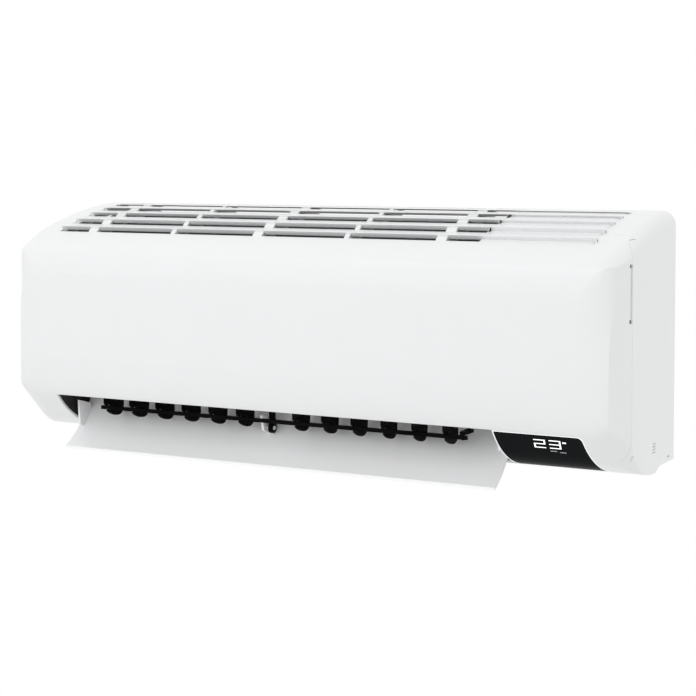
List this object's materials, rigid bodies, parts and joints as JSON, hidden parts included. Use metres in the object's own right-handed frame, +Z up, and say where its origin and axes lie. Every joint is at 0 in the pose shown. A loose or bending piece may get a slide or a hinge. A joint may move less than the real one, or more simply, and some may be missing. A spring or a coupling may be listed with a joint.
{
  "type": "mini split indoor unit",
  "caption": "Wall-hung air conditioner indoor unit: curved white casing, louvred top, open outlet flap over black swing vanes, dark display corner.",
  "frame": {"origin": "middle of the wall face of the mounting plate, at half the casing's width and height", "axes": "+X along the unit to the right as seen from the room, +Y into the wall, +Z up; -Y faces the room"},
  "size_m": [0.82, 0.215, 0.3127],
  "materials": {
    "white_casing": "satin moulded white",
    "flap_white": "satin moulded white",
    "display_black": "glossy tinted cover",
    "vane_black": "semi-gloss black",
    "chassis_grey": "matt light grey",
    "fan_dark": "matt dark grey",
    "rubber_black": "matt",
    "steel": "galvanised",
    "shaft_steel": "ground",
    "fins": "coated fins",
    "copper": "bright copper",
    "brass": "bright brass",
    "motor_metal": "plain",
    "board_green": "solder mask",
    "filter_net": "woven net"
  },
  "bodies": {
    "casing": {"mounting_plate": "steel", "rear_chassis": "chassis_grey", "main_housing": "white_casing", "display_cover": "display_black", "drain_pan": "chassis_grey", "fan_bearing": "rubber_black", "fan_motor": "motor_metal", "motor_bracket": "chassis_grey", "evaporator_front": "fins", "evaporator_top": "fins", "evaporator_rear": "fins", "coil_end_left": "copper", "coil_end_right": "copper", "gas_pipe": "copper", "liquid_pipe": "copper", "gas_flare_nut": "brass", "liquid_flare_nut": "brass", "control_box": "steel", "control_lid": "steel", "control_board": "board_green", "terminal_block": "fan_dark", "flap_motor": "motor_metal", "vane_motor": "motor_metal", "display_board": "board_green", "room_sensor": "chassis_grey", "flap_hanger": "vane_black", "vane_rail_left": "vane_black", "vane_rail_right": "vane_black"},
    "panel": {"front_panel": "white_casing"},
    "filter": {"filter_frame": "white_casing", "filter_mesh": "filter_net"},
    "fan": {"fan_rotor": "fan_dark", "fan_shaft": "shaft_steel"},
    "flap": {"flap": "flap_white"},
    "vane_1": {"vane_1": "vane_black"},
    "vane_2": {"vane_2": "vane_black"},
    "vane_3": {"vane_3": "vane_black"},
    "vane_4": {"vane_4": "vane_black"},
    "vane_5": {"vane_5": "vane_black"},
    "vane_6": {"vane_6": "vane_black"},
    "vane_7": {"vane_7": "vane_black"},
    "vane_8": {"vane_8": "vane_black"},
    "vane_9": {"vane_9": "vane_black"},
    "vane_10": {"vane_10": "vane_black"},
    "vane_11": {"vane_11": "vane_black"},
    "vane_12": {"vane_12": "vane_black"},
    "link_bar": {"link_bar": "vane_black"},
    "drive_crank": {"drive_crank": "vane_black"}
  },
  "joints": [
    {"name": "panel_unclip", "type": "slide", "parent": "casing", "child": "panel", "axis": [0, -1, 0], "range_m": [0, 0.06]},
    {"name": "filter_lift", "type": "slide", "parent": "casing", "child": "filter", "axis": [0, 0, 1], "range_m": [0, 0.06]},
    {"name": "fan_spin", "type": "hinge", "parent": "casing", "child": "fan", "pos_m": [0, -0.098, -0.0315], "axis": [1, 0, 0], "continuous": true},
    {"name": "flap_tilt", "type": "hinge", "parent": "casing", "child": "flap", "pos_m": [-0.0595, -0.153, -0.1205], "axis": [1, 0, 0], "range_deg": [-79, 6]},
    {"name": "vane_1_swing", "type": "hinge", "parent": "casing", "child": "vane_1", "pos_m": [-0.2826, -0.158, -0.1085], "axis": [0, 0, 1], "range_deg": [-30, 30]},
    {"name": "vane_2_swing", "type": "hinge", "parent": "casing", "child": "vane_2", "pos_m": [-0.243, -0.158, -0.1085], "axis": [0, 0, 1], "range_deg": [-30, 30]},
    {"name": "vane_3_swing", "type": "hinge", "parent": "casing", "child": "vane_3", "pos_m": [-0.2034, -0.158, -0.1085], "axis": [0, 0, 1], "range_deg": [-30, 30]},
    {"name": "vane_4_swing", "type": "hinge", "parent": "casing", "child": "vane_4", "pos_m": [-0.1638, -0.158, -0.1085], "axis": [0, 0, 1], "range_deg": [-30, 30]},
    {"name": "vane_5_swing", "type": "hinge", "parent": "casing", "child": "vane_5", "pos_m": [-0.1242, -0.158, -0.1085], "axis": [0, 0, 1], "range_deg": [-30, 30]},
    {"name": "vane_6_swing", "type": "hinge", "parent": "casing", "child": "vane_6", "pos_m": [-0.0846, -0.158, -0.1085], "axis": [0, 0, 1], "range_deg": [-30, 30]},
    {"name": "vane_7_swing", "type": "hinge", "parent": "casing", "child": "vane_7", "pos_m": [-0.0054, -0.158, -0.1085], "axis": [0, 0, 1], "range_deg": [-30, 30]},
    {"name": "vane_8_swing", "type": "hinge", "parent": "casing", "child": "vane_8", "pos_m": [0.0342, -0.158, -0.1085], "axis": [0, 0, 1], "range_deg": [-30, 30]},
    {"name": "vane_9_swing", "type": "hinge", "parent": "casing", "child": "vane_9", "pos_m": [0.0738, -0.158, -0.1085], "axis": [0, 0, 1], "range_deg": [-30, 30]},
    {"name": "vane_10_swing", "type": "hinge", "parent": "casing", "child": "vane_10", "pos_m": [0.1134, -0.158, -0.1085], "axis": [0, 0, 1], "range_deg": [-30, 30]},
    {"name": "vane_11_swing", "type": "hinge", "parent": "casing", "child": "vane_11", "pos_m": [0.153, -0.158, -0.1085], "axis": [0, 0, 1], "range_deg": [-30, 30]},
    {"name": "vane_12_swing", "type": "hinge", "parent": "casing", "child": "vane_12", "pos_m": [0.1926, -0.158, -0.1085], "axis": [0, 0, 1], "range_deg": [-30, 30]},
    {"name": "link_bar_pivot", "type": "hinge", "parent": "vane_1", "child": "link_bar", "pos_m": [-0.2826, -0.176, -0.1085], "axis": [0, 0, 1], "range_deg": [-30, 30]},
    {"name": "crank_turn", "type": "hinge", "parent": "casing", "child": "drive_crank", "pos_m": [0.21438, -0.158, -0.1085], "axis": [0, 0, 1], "range_deg": [-30, 30]}
  ],
  "couplings": [
    {"joint": "vane_2_swing", "follows": "vane_1_swing", "ratio": 1},
    {"joint": "vane_3_swing", "follows": "vane_1_swing", "ratio": 1},
    {"joint": "vane_4_swing", "follows": "vane_1_swing", "ratio": 1},
    {"joint": "vane_5_swing", "follows": "vane_1_swing", "ratio": 1},
    {"joint": "vane_6_swing", "follows": "vane_1_swing", "ratio": 1},
    {"joint": "vane_7_swing", "follows": "vane_1_swing", "ratio": 1},
    {"joint": "vane_8_swing", "follows": "vane_1_swing", "ratio": 1},
    {"joint": "vane_9_swing", "follows": "vane_1_swing", "ratio": 1},
    {"joint": "vane_10_swing", "follows": "vane_1_swing", "ratio": 1},
    {"joint": "vane_11_swing", "follows": "vane_1_swing", "ratio": 1},
    {"joint": "vane_12_swing", "follows": "vane_1_swing", "ratio": 1},
    {"joint": "link_bar_pivot", "follows": "vane_1_swing", "ratio": -1},
    {"joint": "crank_turn", "follows": "vane_1_swing", "ratio": 1}
  ]
}
